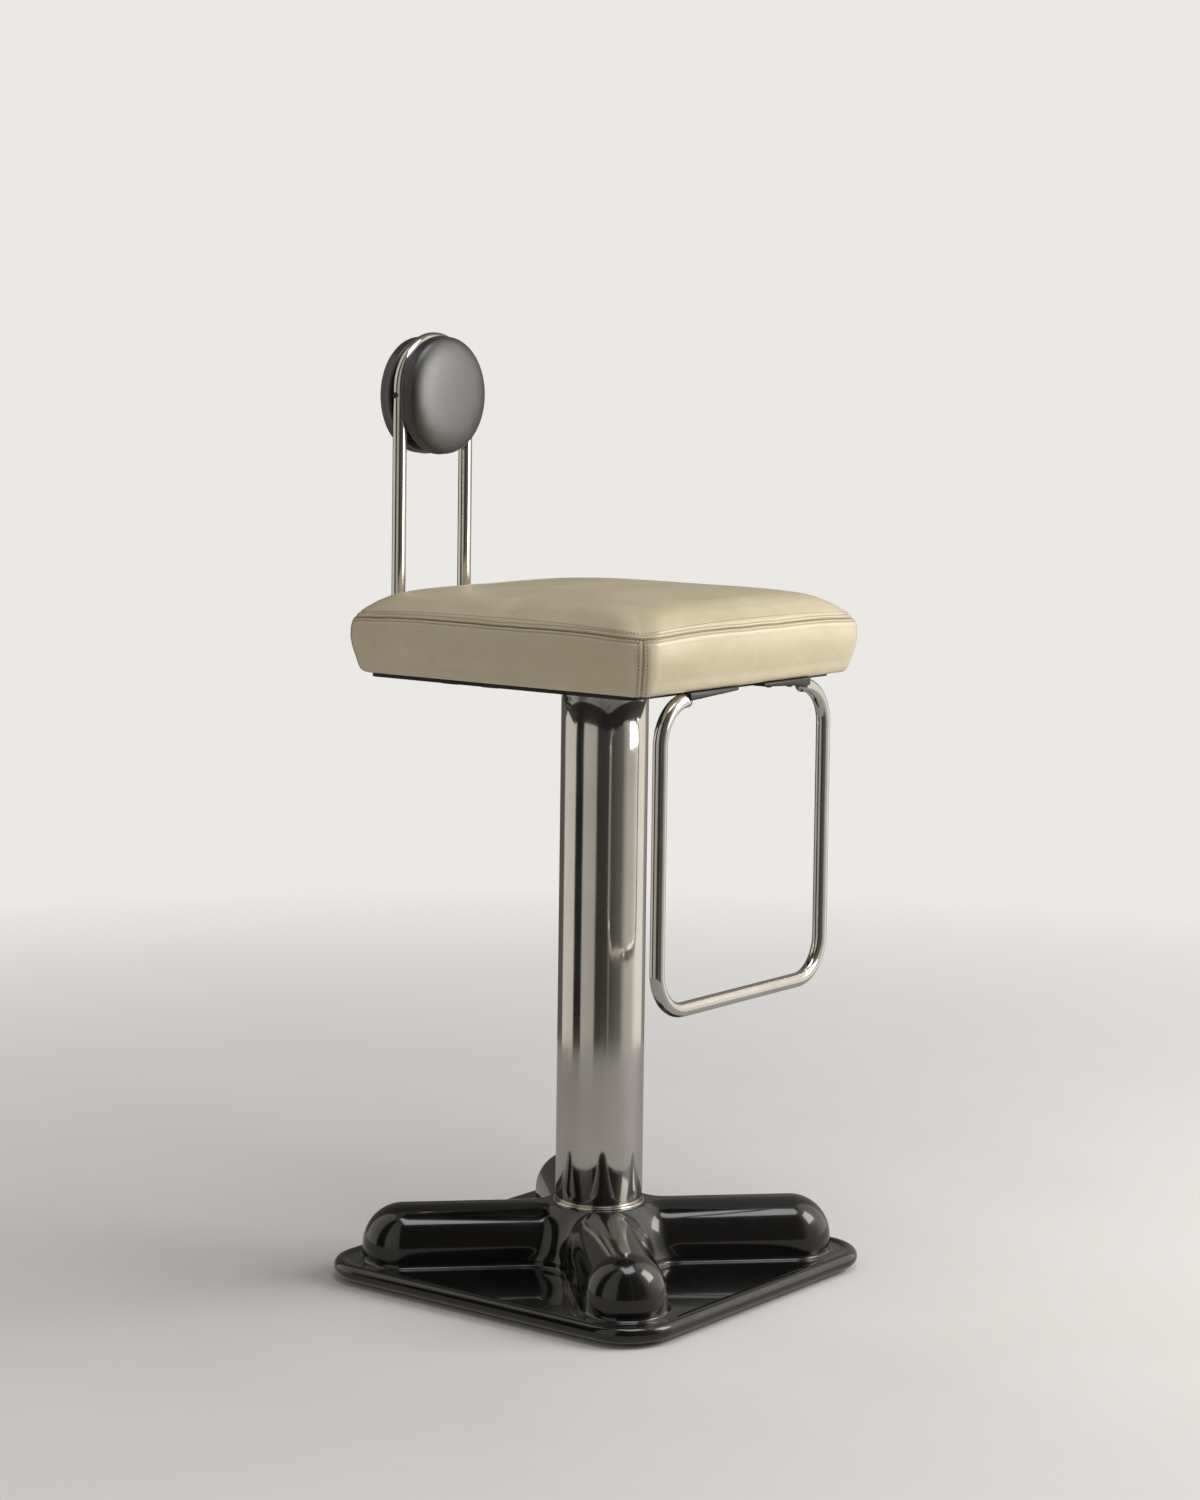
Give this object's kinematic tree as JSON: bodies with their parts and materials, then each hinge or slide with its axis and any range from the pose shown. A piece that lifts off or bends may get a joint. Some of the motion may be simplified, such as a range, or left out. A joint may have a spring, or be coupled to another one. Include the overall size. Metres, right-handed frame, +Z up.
{
  "type": "counter stool",
  "caption": "Bar-height stool with a cream square swivel cushion, round black back pads, tubular footrest and a polished column on a square moulded base.",
  "frame": {"origin": "on the floor, on the column's axis", "axes": "+Z up, -Y to the side with the footrest, +Y to the side with the backrest"},
  "size_m": [0.457, 0.5173, 1.0564],
  "materials": {
    "cream_leather": "smooth semi-gloss cream leather",
    "black_leather": "smooth black leather, satin",
    "polished_steel": "polished stainless steel tube",
    "black_fibreglass": "gloss black moulded fibreglass",
    "dark_steel": "black painted steel",
    "bright_steel": "zinc-plated and machined steel",
    "cast_aluminium": "turned cast aluminium",
    "plywood": "sanded birch plywood",
    "black_panel": "thin board painted matt black",
    "foam": "upholstery foam",
    "nylon": "black nylon",
    "wheel_plastic": "moulded black plastic",
    "grey_tyre": "soft dark grey tread"
  },
  "bodies": {
    "base": {"base_shell": "black_fibreglass", "cross_frame": "dark_steel", "foot_bolts": "bright_steel", "shell_screws": "bright_steel", "column_tube": "polished_steel", "foot_disc": "dark_steel", "foot_ring": "polished_steel", "bearing_housing": "cast_aluminium", "upper_bush": "nylon", "lower_bush": "nylon", "thrust_washer": "nylon", "column_cap": "nylon", "return_spring": "bright_steel", "spring_foot_pin": "bright_steel", "stop_sector": "bright_steel", "castor_sleeves": "nylon"},
    "seat": {"spindle": "bright_steel", "spring_head_pin": "bright_steel", "stop_collar": "bright_steel", "stop_pin": "bright_steel", "swivel_plate": "bright_steel", "plate_screws": "bright_steel", "seat_cover": "cream_leather", "seat_foam": "foam", "seat_board": "plywood", "bottom_panel": "black_panel", "footrest_shoes": "dark_steel", "shoe_screws": "bright_steel", "footrest_loop": "polished_steel", "backrest_saddles": "dark_steel", "saddle_screws": "bright_steel", "backrest_loop": "polished_steel", "front_pad": "black_leather", "front_pad_board": "plywood", "rear_pad": "black_leather", "rear_pad_board": "plywood", "pad_strap": "dark_steel", "strap_screws": "bright_steel", "pad_studs": "bright_steel", "pad_spacers": "bright_steel"},
    "castor_front_left": {"castor_front_left_stem": "bright_steel", "castor_front_left_axle": "bright_steel", "castor_front_left_fork": "bright_steel"},
    "wheel_front_left": {"castor_front_left_wheel": "wheel_plastic", "castor_front_left_tyre": "grey_tyre"},
    "castor_front_right": {"castor_front_right_stem": "bright_steel", "castor_front_right_axle": "bright_steel", "castor_front_right_fork": "bright_steel"},
    "wheel_front_right": {"castor_front_right_wheel": "wheel_plastic", "castor_front_right_tyre": "grey_tyre"},
    "castor_rear_left": {"castor_rear_left_stem": "bright_steel", "castor_rear_left_axle": "bright_steel", "castor_rear_left_fork": "bright_steel"},
    "wheel_rear_left": {"castor_rear_left_wheel": "wheel_plastic", "castor_rear_left_tyre": "grey_tyre"},
    "castor_rear_right": {"castor_rear_right_stem": "bright_steel", "castor_rear_right_axle": "bright_steel", "castor_rear_right_fork": "bright_steel"},
    "wheel_rear_right": {"castor_rear_right_wheel": "wheel_plastic", "castor_rear_right_tyre": "grey_tyre"}
  },
  "joints": [
    {"name": "seat_swivel", "type": "hinge", "parent": "base", "child": "seat", "pos_m": [0, 0, 0.62], "axis": [0, 0, 1], "range_deg": [-90, 90], "stiffness_Nm_per_rad": 1.9, "deforming": ["return_spring"]},
    {"name": "castor_front_left_swivel", "type": "hinge", "parent": "base", "child": "castor_front_left", "pos_m": [-0.1558, -0.1558, 0.055], "axis": [0, 0, 1], "continuous": true},
    {"name": "wheel_front_left_roll", "type": "hinge", "parent": "castor_front_left", "child": "wheel_front_left", "pos_m": [-0.1558, -0.1418, 0.02], "axis": [1, 0, 0], "continuous": true},
    {"name": "castor_front_right_swivel", "type": "hinge", "parent": "base", "child": "castor_front_right", "pos_m": [0.1558, -0.1558, 0.055], "axis": [0, 0, 1], "continuous": true},
    {"name": "wheel_front_right_roll", "type": "hinge", "parent": "castor_front_right", "child": "wheel_front_right", "pos_m": [0.1558, -0.1418, 0.02], "axis": [1, 0, 0], "continuous": true},
    {"name": "castor_rear_left_swivel", "type": "hinge", "parent": "base", "child": "castor_rear_left", "pos_m": [-0.1558, 0.1558, 0.055], "axis": [0, 0, 1], "continuous": true},
    {"name": "wheel_rear_left_roll", "type": "hinge", "parent": "castor_rear_left", "child": "wheel_rear_left", "pos_m": [-0.1558, 0.1698, 0.02], "axis": [1, 0, 0], "continuous": true},
    {"name": "castor_rear_right_swivel", "type": "hinge", "parent": "base", "child": "castor_rear_right", "pos_m": [0.1558, 0.1558, 0.055], "axis": [0, 0, 1], "continuous": true},
    {"name": "wheel_rear_right_roll", "type": "hinge", "parent": "castor_rear_right", "child": "wheel_rear_right", "pos_m": [0.1558, 0.1698, 0.02], "axis": [1, 0, 0], "continuous": true}
  ]
}
